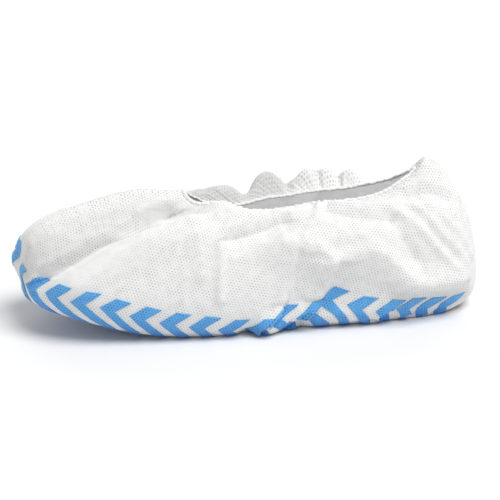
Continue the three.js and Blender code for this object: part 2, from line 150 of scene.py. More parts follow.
# Small creases strewn over both sides: count on a side, shares of the way up, lengths, height and
# reaches, how far they lean to the toe and heel ends and stray from that, where along the foot the
# lean turns and over what span, and the cloth's length from the sole edge to the mouth
CREASE_COUNT = 90
CREASE_UPS = (0.3, 0.95)
CREASE_LENGTHS = (12, 42)
CREASE_HEIGHT = 0.8
CREASE_REACHES = (1.6, 3.4)
CREASE_LEAN = 1.15
CREASE_STRAY = 0.35
CREASE_MIDDLE = 35
CREASE_SPAN = 90
CREASE_RISE = 130
# How steeply and how far a fold falls off, and the shares of the way up over which folds fade in
# above the sole and out below the mouth
FOLD_SHARPNESS = 1.3
FOLD_SPREAD = 1.9
FOLD_FADE_LOW = 0.16
FOLD_FADE_HIGH = 0.06
# Share of the sideways distance that counts as height, so that "above" holds on the sloping top
LEAN = 0.6

# Tucks at the sole edge: side, cloth taken up, lift of the print behind it, height and reach of the
# flap, and its line as for the folds
TUCKS = [
    (-1, 5.0, 8.0, 2.6, 10, [(4, 0.06), (10, 0.19), (17.5, 0.26), (21, 0.33), (24, 0.44)]),
    (-1, 6.0, 8.0, 2.6, 10, [(22, 0.0), (28, 0.07), (41, 0.22), (47, 0.28), (51, 0.37)]),
    (-1, 5.0, 3.0, 2.2, 9, [(84, 0.0), (90.5, 0.1), (101.5, 0.23), (107, 0.3)]),
    (-1, 6.0, 0.5, 1.6, 7, [(110, 0.02), (116, 0.14), (122, 0.27)]),
    (-1, 6.0, 0.5, 1.6, 7, [(128, 0.02), (133, 0.14), (138, 0.27)]),
    (1, 4.0, 4.0, 2.2, 9, [(18, 0.04), (26, 0.2), (34, 0.34)]),
    (1, 4.0, 3.0, 2.2, 9, [(74, 0.04), (84, 0.2), (90, 0.3)]),
]
# Share of the cloth taken up that stays in sight, and the shares of the way up over which a flap
# fades in above the sole and out at its upper end
TUCK_LEFT = 0.1
TUCK_FADE = 0.06
TUCK_TAPER = 0.16

# Slack sheet: links between grid points as steps up and along with their firmness, spare length
# round the foot and up the side by share of the way up, and the room it has to buckle
LINKS = [(0, 1, 1.0), (1, 0, 1.0), (1, 1, 0.6), (1, -1, 0.6)]
ROUND_SLACK = [(0, 1.0), (0.3, 1.0), (0.55, 1.01), (0.7, 1.03), (0.8, 1.08), (0.9, 1.16), (1, 1.22)]
RISE_SLACK = [(0, 1.0), (0.6, 1.0), (1, 1.03)]
ROOM = [(0, 0), (0.1, 0.4), (0.4, 0.7), (0.6, 1.3), (0.75, 2.2), (0.88, 2.4), (0.97, 0.7), (1, 0.25)]
# Firmness against bending, and share of each move that one step makes
BEND_FIRMNESS = 0.08
RELAX_SHARE = 0.22
# Share of the room and of the gathers which the tight vamp loses, its place and its spread
CALM_SHARE = 0.85
CALM_X = -64
CALM_SPAN = 26
# Columns, rows, steps and first jitter of each grid that the sheet is relaxed on, and how often
# the jitter is smoothed
LEVELS = [(130, 22, 400, 1.0), (260, 44, 300, 0.3), (520, 88, 200, 0.1)]
JITTER_SMOOTHINGS = 2
# Steps on each grid for laying the cut sheet flat
FLATTEN_STEPS = (4000, 1000, 300)
# Fine gathers under the hem: their height by share of the way up, their mean strength, and how far
# it sways in waves round the mouth
GATHERS = [(0, 0), (0.8, 0), (0.9, 0.25), (0.96, 0.5), (1, 0.3)]
GATHER_STRENGTH = 0.6
GATHER_SWAY = 0.2
GATHER_WAVES = (5, 13, 23)
# Gathers round the mouth, and the waves that make them uneven: size, count round it and start
SCALLOPS = 112
SCALLOP_WAVES = [(1.6, 7, 0.5), (1.1, 17, 1.9)]

# Height of each side's line of chevron points above the sole edge, by place along the foot
APEX_LINES = {
    -1: [(-170, 16), (-158, 12.5), (-145, 16), (-110, 19), (-80, 15.5), (-35, 9), (-12, 4.5), (40, 3),
         (65, 6), (87, -2), (110, -7), (130, -10), (150, -13), (170, -14)],
    1: [(-170, 31), (-150, 18.5), (-110, 19), (-80, 15.5), (-35, 9), (40, 6), (90, 3), (170, 1)],
}
# Chevrons: pitch, width along the foot, rise and slope of the upper limb, start of the first one,
# cut beside the toe seam, and reach under the sole with some to spare
CHEVRON_PITCH = 20.95
CHEVRON_WIDTH = 10.6
CHEVRON_RISE = 10.5
CHEVRON_SLOPE = 1.15
CHEVRON_START = -1
CHEVRON_CUT = 1.6
CHEVRON_UNDER = 10
CHEVRON_SPARE = 8
# Line that the chevrons are measured along: its share of the way up, its steps, and the highest
# share that the print reaches with the steps up to it
PRINT_LINE_UP = 0.214
PRINT_LINE_STEPS = 480
PRINT_TOP_UP = 0.5
PRINT_TOP_STEPS = 120
# Lower and upper face of the print above the fabric, and its grid's steps across and along a limb
PRINT_LOW = 0.1
PRINT_HIGH = 0.6
PRINT_ACROSS = 26
PRINT_ALONG = 84
# Share of the sole's width that the print may take from each side, and the reach under the sole
# over which it turns to face down
PRINT_UNDER_SHARE = 0.45
PRINT_TURN = 2
# Shares of the way up between which painted shade darkens the print's colour towards the sole edge,
# where its lower parts face down
PRINT_SHADE_LOW = 0.0
PRINT_SHADE_HIGH = 0.3

# Hem: steps round the mouth and round its section, smoothings of its line, seat beyond the fabric's
# edge, half height and thickness, shares that these swell by, sideways sway with its pace, starts of
# these waves, and length of cloth in each length of hem
HEM_STEPS = 1440
HEM_SIDES = 10
HEM_SMOOTHINGS = 120
HEM_SEAT = 1.2
HEM_HALF_HEIGHT = 1.4
HEM_HALF_THICKNESS = 1.0
HEM_TALL_SWELL = 0.1
HEM_THICK_SWELL = 0.3
HEM_THICK_START = 0.7
HEM_SWAY = 0.2
HEM_SWAY_PACE = 0.5
HEM_SWAY_START = 0.4
HEM_FULLNESS = 1.6

# Seams: turn round the foot, share of the way up where they start, steps along them, length, mean
# and swing of their crimps, and half width and thickness
SEAM_TURNS = {"toe_weld": 0.0, "heel_weld": HEEL_TURN}
SEAM_FIRST_UP = 0.14
SEAM_STEPS = 320
SEAM_CRIMP = 2.2
SEAM_CRIMP_MEAN = 0.7
SEAM_CRIMP_SWING = 0.3
SEAM_HALF_WIDTH = 1.0
SEAM_THICKNESS = 0.4
# Corners of a seam's section as shares of its half width and thickness
SEAM_SECTION = [(-1, -0.4), (-1, 0.5), (-0.6, 1), (0, 0.75), (0.6, 1), (1, 0.5), (1, -0.4)]

# Dots pressed into the fabric on a hexagonal lattice: gap between its rows, directions of its three
# waves on the sheet in degrees, and the edge of a dot on the sum of the waves
DOT_ROW = 1.95
DOT_WAVE_TURNS = (16, 76, 136)
DOT_EDGE = (0.3, 1.7)
# Noises as scale and detail, each with the range that is read from it: how strongly dots are pressed
# from place to place, at least by some share, clouds in the web, and fibres with their height
DOT_NOISE = (1.6, 2.0)
DOT_NOISE_RANGE = (0.3, 0.7)
DOT_WEAKEST = 0.35
CLOUD_NOISE = (2.2, 4.0)
CLOUD_NOISE_RANGE = (0.35, 0.7)
FIBRE_NOISE = (26.0, 2.0)
FIBRE_HEIGHT = 0.25
# Relief of dots and fibres, gloss and sheen of all fabrics
BUMP_STRENGTH = 0.6
BUMP_HEIGHT = 0.2
FABRIC_SPECULAR = 0.25
FABRIC_SHEEN = 0.15
FABRIC_SHEEN_ROUGHNESS = 0.5
# Map of places on the cut sheet, and how many millimetres one unit of it stands for
PLACE_MAP = "sheet_place"
PLACE_UNIT = 10.0
# Tones of the sheet as strokes: side, share of painted shade that greys it, how far its dots fade, the
# reach above and below the stroke, and its points as for the folds. The painted shade greys the far
# puff above the hem, where the thin cloth has little behind it and lets light through, the side above
# the main near crease and the low heel.
# The fading dots paint a highlight on the band below that crease, and at the mouth front they hide
# dots that the cut sheet squeezes
TONES = [
    (1, 0.9, 0.3, 26, 26, [(-40, 0.95), (-17, 0.92), (20, 0.90)]),
    (-1, 0.45, 0.0, 42, 0, [(-58, 0.90), (-75, 0.768), (-100, 0.60), (-128, 0.50), (-151, 0.405)]),
    (-1, 0.0, 0.9, 2, 32, [(-58, 0.90), (-75, 0.768), (-100, 0.60), (-128, 0.50)]),
    (-1, 0.0, 0.9, 14, 8, [(-46, 0.94), (-58, 0.90), (-72, 0.86)]),
    (-1, 0.6, 0.3, 14, 14, [(106, 0.30), (128, 0.28), (152, 0.28)]),
]
# Share of the reach over which a tone grows to its full strength, and the maps that hold tones
TONE_FULL = 0.6
PAINTED_SHADE_MAP = "painted_shade"
DOT_FADE_MAP = "dot_fade"
# Map of how much daylight the lining lets through, and the shares of the way up where that begins
# and is full
GLOW_MAP = "glow"
GLOW_LOW = 0.3
GLOW_HIGH = 0.65

# Fabrics: colours of the web, its dots and its clouds, colour that the painted-shade map multiplies
# them by, roughness, depth of the dots, and share and reach of the light that shines through
# Colours of painted shade: grey for the fabrics and a deeper blue for the print
SHADE_GREY = (0.74, 0.74, 0.74)
SHADE_BLUE = (0.42, 0.58, 0.8)
FABRICS = {
    "nonwoven_white": (
        (0.845, 0.845, 0.84), (0.52, 0.52, 0.51), (0.795, 0.795, 0.79), SHADE_GREY, 0.9, 1.0, 0.3, 1.0),
    # The inside is painted whiter than the outside: painted light that stands in for light passing
    # through the cloth into the hollow
    "nonwoven_inside_painted_light": (
        (0.97, 0.97, 0.965), (0.88, 0.88, 0.87), (0.95, 0.95, 0.945), SHADE_GREY, 0.9, 1.0, 1.0, 4.0),
    "tread_print": (
        (0.112, 0.39, 0.765), (0.03, 0.15, 0.43), (0.135, 0.43, 0.80), SHADE_BLUE, 0.75, 1.0, 0.3, 1.0),
    "welded_seam": (
        (0.84, 0.84, 0.835), (0.74, 0.74, 0.73), (0.80, 0.80, 0.795), SHADE_GREY, 0.7, 0.5, 0.0, 1.0),
    "elastic_hem": (
        (0.86, 0.86, 0.855), (0.80, 0.80, 0.79), (0.82, 0.82, 0.815), SHADE_GREY, 0.9, 0.3, 0.0, 1.0),
}
# Sockets of a Mix node for its share and two colours, and for the mixed colour
MIX_SOCKETS = (0, 6, 7)
MIX_RESULT = 2

# Light: strength of the white surround, and two wide lamps' directions, spreads and strengths
WORLD_STRENGTH = 0.4
LAMPS = {
    "key": ((0.3, -0.38, 1.0), 40, 2.6),
    "back": ((0.1, 1.0, 0.45), 70, 1.0),
}

# Floor: half its side in metres, grey level, roughness and gloss
FLOOR_HALF = 4.0
FLOOR_GREY = 0.82
FLOOR_ROUGHNESS = 0.9
FLOOR_SPECULAR = 0.1

# Camera: azimuth and elevation in degrees, width of the view, its middle to the right of and above
# the origin, distance, width of the sensor, and the furthest that it sees in metres
VIEW_AZIMUTH = -8
VIEW_ELEVATION = 20
VIEW_WIDTH = 360
VIEW_MIDDLE = (1.66, 45.28)
VIEW_DISTANCE = 2500
SENSOR = 36
VIEW_END = 20


def smoothstep(x, low, high):
    t = np.clip((x - low) / (high - low), 0, 1)
    return t * t * (3 - 2 * t)


def bell(distance, span):
    return np.exp(-((distance / span) ** 2))


def unit(vectors):
    length = np.linalg.norm(vectors, axis=-1, keepdims=True)
    return vectors / np.maximum(length, TINY)


# Value read from a table of pairs by straight lines
def table_value(rows, x):
    return np.interp(x, [row[0] for row in rows], [row[1] for row in rows])


# Share of the way up of each row, and its inverse
def row_ups(rows):
    return table_value(ROW_SHARES, np.linspace(0, 1, rows + 1))


def row_share(up):
    return table_value([(high, low) for low, high in ROW_SHARES], up)


# Centripetal spline through points, read at places from 0 to 1
def spline(points, places, closed):
    spans = len(points) if closed else len(points) - 1
    along = np.clip(places, 0, 1) * spans
    first = np.minimum(np.floor(along).astype(int), spans - 1)
    t = (along - first).reshape((-1,) + (1,) * (points.ndim - 1))
    if closed:
        padded = np.concatenate([points[-1:], points, points[:2]])
    else:
        before = 2 * points[:1] - points[1:2]
        after = 2 * points[-1:] - points[-2:-1]
        padded = np.concatenate([before, points, after])
    p0, p1, p2, p3 = (padded[first + k] for k in range(4))
    gap0, gap1, gap2 = (
        np.sqrt(np.linalg.norm(b - a, axis=-1, keepdims=True))
        for a, b in ((p0, p1), (p1, p2), (p2, p3))
    )
    slope1 = gap1 * ((p1 - p0) / gap0 - (p2 - p0) / (gap0 + gap1) + (p2 - p1) / gap1)
    slope2 = gap1 * ((p2 - p1) / gap1 - (p3 - p1) / (gap1 + gap2) + (p3 - p2) / gap2)
    return (
        (2 * t**3 - 3 * t**2 + 1) * p1
        + (t**3 - 2 * t**2 + t) * slope1
        + (3 * t**2 - 2 * t**3) * p2
        + (t**3 - t**2) * slope2
    )


# The near half of a guide goes from toe to heel and its mirror image comes back
def guide_loop(stations, turns):
    near = np.array(stations, float)
    far = near[-2:0:-1].copy()
    near[:, 1] *= -1
    return spline(np.concatenate([near, far]), turns, True)


# How far points belong to one side of the foot, or to the ridge along its middle
def side_share(points, side):
    if side == 0:
        return bell(points[..., 1], RIDGE_SPAN)
    return smoothstep(points[..., 1] * side, MIDDLE_INNER, MIDDLE_OUTER)


# Smooth skin as rows of points round the foot, from the sole edge to the mouth. The last point
# of a row repeats the first, so a row is an open line that closes on itself.
def smooth_skin(columns, rows):
    spread = np.linspace(0, 1, SPREAD_STEPS + 1)
    steps = np.linalg.norm(np.diff(guide_loop(GUIDES["belly"], spread), axis=0), axis=-1)
    run = np.concatenate([[0], np.cumsum(steps)])
    turns = np.interp(np.linspace(0, 1, columns + 1), run / run[-1], spread)
    loops = {name: guide_loop(stations, turns) for name, stations in GUIDES.items()}
    edge, belly = loops["edge"], loops["belly"]
    edge[:, 2] = np.maximum(edge[:, 2], 0)
    bilge = edge + BILGE_PLAN * (belly - edge)
    bilge[:, 2] = edge[:, 2] + BILGE_RISE * (belly[:, 2] - edge[:, 2])
    profile = np.stack([edge, bilge, belly, loops["shoulder"], loops["crest"], loops["rim"]])
    ups = row_ups(rows)
    grid = spline(profile, ups, False)
    shift = np.zeros_like(grid)
    for side, x, up, span_x, span_up, ahead, out, rise in PUFFS:
        weight = bell(grid[..., 0] - x, span_x) * bell(ups[:, None] - up, span_up)
        weight = weight * side_share(grid, side)
        shift[..., 0] -= ahead * weight
        shift[..., 1] += side * out * weight
        shift[..., 2] += rise * weight
    return grid + shift


def skin_normals(grid):
    ring = grid[:, :-1]
    round_foot = np.roll(ring, -1, 1) - np.roll(ring, 1, 1)
    normals = unit(np.cross(round_foot, np.gradient(ring, axis=0)))
    return np.concatenate([normals, normals[:, :1]], 1)


# Values of a grid between its points, at places given as turn round the foot and share up
def grid_at(grid, turn, up):
    rows, columns = grid.shape[0] - 1, grid.shape[1] - 1
    across = np.clip(turn, 0, 1) * columns
    rise = row_share(np.clip(up, 0, 1)) * rows
    j = np.minimum(across.astype(int), columns - 1)
    i = np.minimum(rise.astype(int), rows - 1)
    a = (across - j)[..., None]
    b = (rise - i)[..., None]
    low = (1 - a) * grid[i, j] + a * grid[i, j + 1]
    high = (1 - a) * grid[i + 1, j] + a * grid[i + 1, j + 1]
    return (1 - b) * low + b * high


# Turns round the foot along one side, from toe to heel
def side_turns(side, steps):
    turns = np.linspace(0, HEEL_TURN, steps + 1)
    return turns if side < 0 else 1 - turns


# Point of the skin on one side at a place along the foot and a share of the way up
def skin_place(grid, side, x, up):
    turns = side_turns(side, SIDE_STEPS)
    line = grid_at(grid, turns, np.full(turns.shape, up))
    order = np.maximum.accumulate(line[:, 0] + SMALL * np.arange(len(line)))
    return np.array([np.interp(x, order, line[:, axis]) for axis in range(3)])


# Distance of the skin's points from a stroke over one side, and whether they lie above it
def stroke_distance(grid, side, stroke):
    places = np.array([skin_place(grid, side, x, up) for x, up in stroke])
    nearest = np.full(grid.shape[:2], np.inf)
    over = np.zeros(grid.shape[:2], bool)
    for a, b in zip(places[:-1], places[1:]):
        run = b - a
        part = np.clip(((grid - a) @ run) / (run @ run), 0, 1)
        away = grid - a - part[..., None] * run
        distance = np.linalg.norm(away, axis=-1)
        closer = distance < nearest
        nearest[closer] = distance[closer]
        over[closer] = (away[..., 2] - side * away[..., 1] * LEAN)[closer] > 0
    return nearest, over


# Seeded small creases that run from the mouth to the sole, leaning out at toe and heel
def small_creases():
    rng = np.random.default_rng(SEED)
    creases = []
    for side in (-1, 1):
        for _ in range(CREASE_COUNT):
            x = rng.uniform(GUIDES["belly"][0][0], GUIDES["belly"][-1][0])
            up = rng.uniform(*CREASE_UPS)
            length = rng.uniform(*CREASE_LENGTHS)
            lean = CREASE_LEAN * np.tanh((x - CREASE_MIDDLE) / CREASE_SPAN)
            lean = lean + rng.normal(0, CREASE_STRAY)
            peak = CREASE_HEIGHT * rng.uniform(-1, 1)
            reach = rng.uniform(*CREASE_REACHES)
            end = (x + length * np.sin(lean), up - length * np.cos(lean) / CREASE_RISE)
            creases.append((side, peak, reach, reach, [(x, up), end]))
    return creases


# Height that the folds and tucks add to the skin along its normal
def fold_height(grid):
    ups = row_ups(grid.shape[0] - 1)[:, None]
    height = np.zeros(grid.shape[:2])
    for side, peak, above, below, stroke in FOLDS + small_creases():
        nearest, over = stroke_distance(grid, side, stroke)
        reach = FOLD_SPREAD * np.where(over, above, below)
        ridge = np.clip(1 - nearest / reach, 0, 1) ** FOLD_SHARPNESS
        height += peak * ridge * side_share(grid, side)
    height = height * smoothstep(ups, 0, FOLD_FADE_LOW) * smoothstep(1 - ups, 0, FOLD_FADE_HIGH)
    for side, _, _, flap, reach, stroke in TUCKS:
        nearest, over = stroke_distance(grid, side, stroke)
        slope = np.clip(1 - nearest / reach, 0, 1) * side_share(grid, side)
        fade = smoothstep(ups, 0, TUCK_FADE) * smoothstep(stroke[-1][1] - ups, 0, TUCK_TAPER)
        height += np.where(over, flap, -flap) * slope * fade
    return height


# Views of the points at both ends of every link of one kind, on an open grid
def link_ends(grid, up, on):
    rows, columns = grid.shape[:2]
    left, right = max(0, -on), max(0, on)
    here = grid[: rows - up, left : columns - right]
    there = grid[up:, left + on : columns - right + on]
    return here, there


def link_lengths(grid):
    lengths = []
    for up, on, _ in LINKS:
        here, there = link_ends(grid, up, on)
        lengths.append(np.linalg.norm(there - here, axis=-1))
    return lengths


# How the links move the points on their way to their rest lengths
def link_moves(points, rest):
    moves = np.zeros_like(points)
    for (up, on, firm), length in zip(LINKS, rest):
        here, there = link_ends(points, up, on)
        delta = there - here
        now = np.maximum(np.linalg.norm(delta, axis=-1), SMALL)
        pull = (0.5 * firm * (1 - length / now))[..., None] * delta
        here_move, there_move = link_ends(moves, up, on)
        here_move += pull
        there_move -= pull
    return moves


# Rest lengths of the slack sheet: longer round the foot near the mouth, and a little up the side
def slack_lengths(grid):
    lengths = link_lengths(grid)
    ups = row_ups(grid.shape[0] - 1)
    round_slack = table_value(ROUND_SLACK, ups)[:, None]
    rise_slack = table_value(RISE_SLACK, 0.5 * (ups[1:] + ups[:-1]))[:, None]
    round_rest = lengths[0] * round_slack
    rise_rest = lengths[1] * rise_slack
    wide = 0.5 * (lengths[0][1:] + lengths[0][:-1])
    tall = 0.5 * (lengths[1][:, 1:] + lengths[1][:, :-1])
    wide_slack = 0.5 * (round_slack[1:] + round_slack[:-1])
    stretch = np.sqrt(((wide * wide_slack) ** 2 + (tall * rise_slack) ** 2) / (wide**2 + tall**2))
    return [round_rest, rise_rest, lengths[2] * stretch, lengths[3] * stretch]


def bend_pull(grid):
    pull = np.zeros_like(grid)
    ring = grid[:, :-1]
    pull[:, :-1] += np.roll(ring, -1, 1) + np.roll(ring, 1, 1) - 2 * ring
    pull[1:-1] += grid[2:] + grid[:-2] - 2 * grid[1:-1]
    pull[:, -1] = pull[:, 0]
    return pull


# Let the slack sheet buckle, kept within some room of the form that it lies on
def relax(points, form, normals, room, steps):
    rest = slack_lengths(form)
    form_bend = bend_pull(form)
    for _ in range(steps):
        moves = link_moves(points, rest)
        closing = moves[:, 0] + moves[:, -1]
        moves[:, 0] = closing
        moves[:, -1] = closing
        moves += BEND_FIRMNESS * (bend_pull(points) - form_bend)
        points = points + RELAX_SHARE * moves
        shift = points - form
        out = (shift * normals).sum(-1, keepdims=True)
        along = shift - out * normals
        reach = np.linalg.norm(along, axis=-1, keepdims=True)
        along = along * np.minimum(1, room / np.maximum(reach, SMALL))
        points = form + np.clip(out, -room, room) * normals + along
    return points


# Seeded noise on a grid that closes round the foot, smoothed over some neighbours
def ring_noise(rng, shape, smoothings):
    noise = rng.normal(size=(shape[0], shape[1] - 1))
    for _ in range(smoothings):
        noise = (np.roll(noise, 1, 1) + np.roll(noise, -1, 1) + 2 * noise) / 4
        padded = np.concatenate([noise[:1], noise, noise[-1:]])
        noise = (padded[:-2] + padded[2:] + 2 * noise) / 4
    noise = noise / noise.std()
    return np.concatenate([noise, noise[:, :1]], 1)


# Uneven round of the gathers at the mouth, as an angle
def scallop_phase(turn):
    angle = 2 * np.pi * turn
    phase = SCALLOPS * angle
    for size, count, start in SCALLOP_WAVES:
        phase = phase + size * np.sin(count * angle + start)
    return phase


# The sheet is relaxed on a coarse grid first, and what it found is carried to the finer ones
def gathered_skin():
    rng = np.random.default_rng(SEED)
    found = None
    forms = []
    for columns, rows, steps, jitter in LEVELS:
        smooth = smooth_skin(columns, rows)
        normals = skin_normals(smooth)
        form = smooth + normals * fold_height(smooth)[..., None]
        form[..., 2] = np.maximum(form[..., 2], 0)
        forms.append(form)
        turn, up = np.meshgrid(np.linspace(0, 1, columns + 1), row_ups(rows))
        calm = CALM_SHARE * bell(smooth[..., 0] - CALM_X, CALM_SPAN)
        room = (table_value(ROOM, up) * (1 - calm))[..., None]
        noise = ring_noise(rng, form.shape[:2], JITTER_SMOOTHINGS)[..., None]
        start = form + normals * noise * np.minimum(room, jitter)
        if found is not None:
            start = start + grid_at(found, turn, up)
        relaxed = relax(start, form, normals, room, steps)
        found = relaxed - form
    sway = sum(GATHER_SWAY * np.sin(2 * np.pi * wave * turn + wave) for wave in GATHER_WAVES)
    strength = GATHER_STRENGTH + sway
    gathers = table_value(GATHERS, up) * strength * np.sin(scallop_phase(turn)) * (1 - calm)
    relaxed = relaxed + skin_normals(relaxed) * gathers[..., None]
    relaxed[..., 2] = np.maximum(relaxed[..., 2], 0)
    return smooth, relaxed, forms


# Places of the points on the cut sheet: the near side is laid flat and eased to its own edge lengths
def sheet_places(forms):
    flat = None
    for form, steps in zip(forms, FLATTEN_STEPS):
        rows, columns = form.shape[0] - 1, form.shape[1] - 1
        side = form[:, : columns // 2 + 1]
        if flat is None:
            climb = np.diff(side, axis=0)
            climb = np.stack([climb[..., 0], np.hypot(climb[..., 1], climb[..., 2])], -1)
            start = side[0][:, [0, 2]]
            flat = np.concatenate([start[None], start + np.cumsum(climb, 0)])
        else:
            turn = np.linspace(0, 1, columns // 2 + 1)
            turn, up = np.meshgrid(turn, row_ups(rows))
            flat = grid_at(flat, turn, up)
        rest = link_lengths(side)
        for _ in range(steps):
            flat = flat + RELAX_SHARE * link_moves(flat, rest)
    return np.concatenate([flat, flat[:, -2::-1]], 1)


# Grid of vertex numbers to quads, each row a line of points
def grid_quads(numbers):
    a, b = numbers[:-1, :-1], numbers[:-1, 1:]
    c, d = numbers[1:, 1:], numbers[1:, :-1]
    return np.stack([a, b, c, d], -1).reshape(-1, 4)


# One piece of the object: its mesh in metres, with each point's place on the cut sheet
def make_piece(name, points, faces, places, material):
    mesh = bpy.data.meshes.new(name)
    mesh.from_pydata((np.asarray(points) * MM).tolist(), [], [list(face) for face in faces])
    mesh.polygons.foreach_set("use_smooth", np.ones(len(mesh.polygons), bool))
    corners = np.zeros(len(mesh.loops), np.int32)
    mesh.loops.foreach_get("vertex_index", corners)
    marks = (np.asarray(places) / PLACE_UNIT)[corners]
    layer = mesh.uv_layers.new(name=PLACE_MAP)
    layer.data.foreach_set("uv", marks.astype(np.float32).ravel())
    mesh.materials.append(material)
    mesh.validate()
    mesh.update()
    piece = bpy.data.objects.new(name, mesh)
    bpy.context.scene.collection.objects.link(piece)
    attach(piece, "root")
    return piece


# Lines of vertex numbers across the sole, from near edge to far edge, with the points between
def sole_lines(skin, places, first_free):
    columns = skin.shape[1] - 1
    half = columns // 2
    parts = np.linspace(0, 1, SOLE_STEPS + 1)[1:-1, None]
    lines, points, marks = [np.zeros(SOLE_STEPS + 1, int)], [], []
    for k in range(1, half):
        near, far = skin[0, k], skin[0, columns - k]
        between = near + parts * (far - near)
        numbers = first_free + len(points) + np.arange(len(between))
        points.extend(between)
        away = np.minimum(parts, 1 - parts)[:, 0] * np.linalg.norm(far - near)
        marks.extend(np.stack([np.full(away.shape, places[0, k, 0]), places[0, k, 1] - away], -1))
        lines.append(np.concatenate([[k], numbers, [columns - k]]))
    lines.append(np.full(SOLE_STEPS + 1, half))
    return np.array(lines), np.array(points), np.array(marks)


# Drop the repeated corners that the sole's lines have at toe and heel
def clean_faces(quads):
    faces = []
    for quad in quads.tolist():
        corners = [v for k, v in enumerate(quad) if v != quad[k - 1]]
        if len(corners) > 2:
            faces.append(corners)
    return faces


# Painted shade of the sheet, how far its dots fade, which paints a highlight on the band below the
# main near crease, and how much daylight it lets through
def sheet_tones(skin):
    painted_shade = np.zeros(skin.shape[:2])
    dot_fade = np.zeros(skin.shape[:2])
    for side, shade_share, dot_fade_share, above, below, stroke in TONES:
        nearest, over = stroke_distance(skin, side, stroke)
        reach = np.maximum(np.where(over, above, below), SMALL)
        near = smoothstep(1 - nearest / reach, 0, TONE_FULL) * side_share(skin, side)
        painted_shade = np.maximum(painted_shade, shade_share * near)
        dot_fade = np.maximum(dot_fade, dot_fade_share * near)
    glow = smoothstep(row_ups(skin.shape[0] - 1), GLOW_LOW, GLOW_HIGH)
    glow = np.broadcast_to(glow[:, None], painted_shade.shape)
    return {PAINTED_SHADE_MAP: (painted_shade, 0 * painted_shade), DOT_FADE_MAP: (dot_fade, 0 * painted_shade), GLOW_MAP: (glow, glow)}


# Tone of each of a piece's points, kept for its material
def store_tone(piece, name, values):
    layer = piece.data.attributes.new(name, "FLOAT", "POINT")
    layer.data.foreach_set("value", values.astype(np.float32))


# The fabric is a closed thin sheet: an outer and an inner skin with the sole, joined at the mouth
def cover_fabric(skin, places, material, lining):
    rows, columns = skin.shape[0], skin.shape[1] - 1
    normals = skin_normals(skin)
    normals[0] = unit(normals[0] + DOWN)
    numbers = np.arange(rows * columns).reshape(rows, columns)
    ring = np.concatenate([numbers, numbers[:, :1]], 1)
    lines, sole_points, sole_marks = sole_lines(skin, places, rows * columns)
    outer = np.concatenate([skin[:, :-1].reshape(-1, 3), sole_points])
    sole_normals = np.tile(DOWN, (len(sole_points), 1))
    outward = np.concatenate([normals[:, :-1].reshape(-1, 3), sole_normals])
    inner = outer - FABRIC_THICKNESS * outward
    marks = np.concatenate([places[:, :-1].reshape(-1, 2), sole_marks])
    faces = clean_faces(np.concatenate([grid_quads(ring), grid_quads(lines)]))
    count = len(outer)
    inside = [[v + count for v in reversed(face)] for face in faces]
    mouth = grid_quads(np.stack([ring[-1], ring[-1] + count]))
    faces = faces + inside + mouth.tolist()
    marks = np.concatenate([marks, marks])
    cover = make_piece("cover_fabric", np.concatenate([outer, inner]), faces, marks, material)
    cover.data.materials.append(lining)
    for tone, (outside, within) in sheet_tones(skin).items():
        sole = np.zeros(len(sole_points))
        values = np.concatenate([outside[:, :-1].ravel(), sole, within[:, :-1].ravel(), sole])
        store_tone(cover, tone, values)
    slots = np.zeros(len(faces), np.int32)
    slots[len(inside) : 2 * len(inside)] = 1
    cover.data.polygons.foreach_set("material_index", slots)
    return cover


# Faces of a tube that runs back into itself, whose rings are rows of points
def tube_faces(rings, sides):
    numbers = np.arange(rings * sides).reshape(rings, sides)
    numbers = np.concatenate([numbers, numbers[:1]])
    return grid_quads(np.concatenate([numbers, numbers[:, :1]], 1))


# The hem is a narrow crinkled sleeve over the elastic
def elastic_hem(skin, material):
    turn = np.linspace(0, 1, HEM_STEPS, endpoint=False)
    top = np.ones(HEM_STEPS)
    centre = grid_at(skin, turn, top)
    normal = unit(grid_at(skin_normals(skin), turn, top))
    for _ in range(HEM_SMOOTHINGS):
        centre = (np.roll(centre, 1, 0) + np.roll(centre, -1, 0) + 2 * centre) / 4
        normal = unit(np.roll(normal, 1, 0) + np.roll(normal, -1, 0) + 2 * normal)
    along = unit(np.roll(centre, -1, 0) - np.roll(centre, 1, 0))
    outward = unit(np.cross(normal, along))
    phase = scallop_phase(turn)
    tall = HEM_HALF_HEIGHT * (1 + HEM_TALL_SWELL * np.sin(phase))
    thick = HEM_HALF_THICKNESS * (1 + HEM_THICK_SWELL * np.sin(phase + HEM_THICK_START))
    sway = HEM_SWAY * np.sin(HEM_SWAY_PACE * phase + HEM_SWAY_START)
    angle = 2 * np.pi * np.arange(HEM_SIDES) / HEM_SIDES
    ring = (
        centre[:, None]
        + outward[:, None] * (HEM_SEAT + tall[:, None] * np.cos(angle))[..., None]
        + normal[:, None] * (sway[:, None] + thick[:, None] * np.sin(angle))[..., None]
    )
    length = np.linalg.norm(np.roll(centre, -1, 0) - centre, axis=-1)
    run = np.concatenate([[0], np.cumsum(length)[:-1]]) * HEM_FULLNESS
    marks = np.stack(np.broadcast_arrays(run[:, None], angle * HEM_HALF_HEIGHT), -1)
    faces = tube_faces(HEM_STEPS, HEM_SIDES)
    return make_piece("hem_band", ring.reshape(-1, 3), faces, marks.reshape(-1, 2), material)


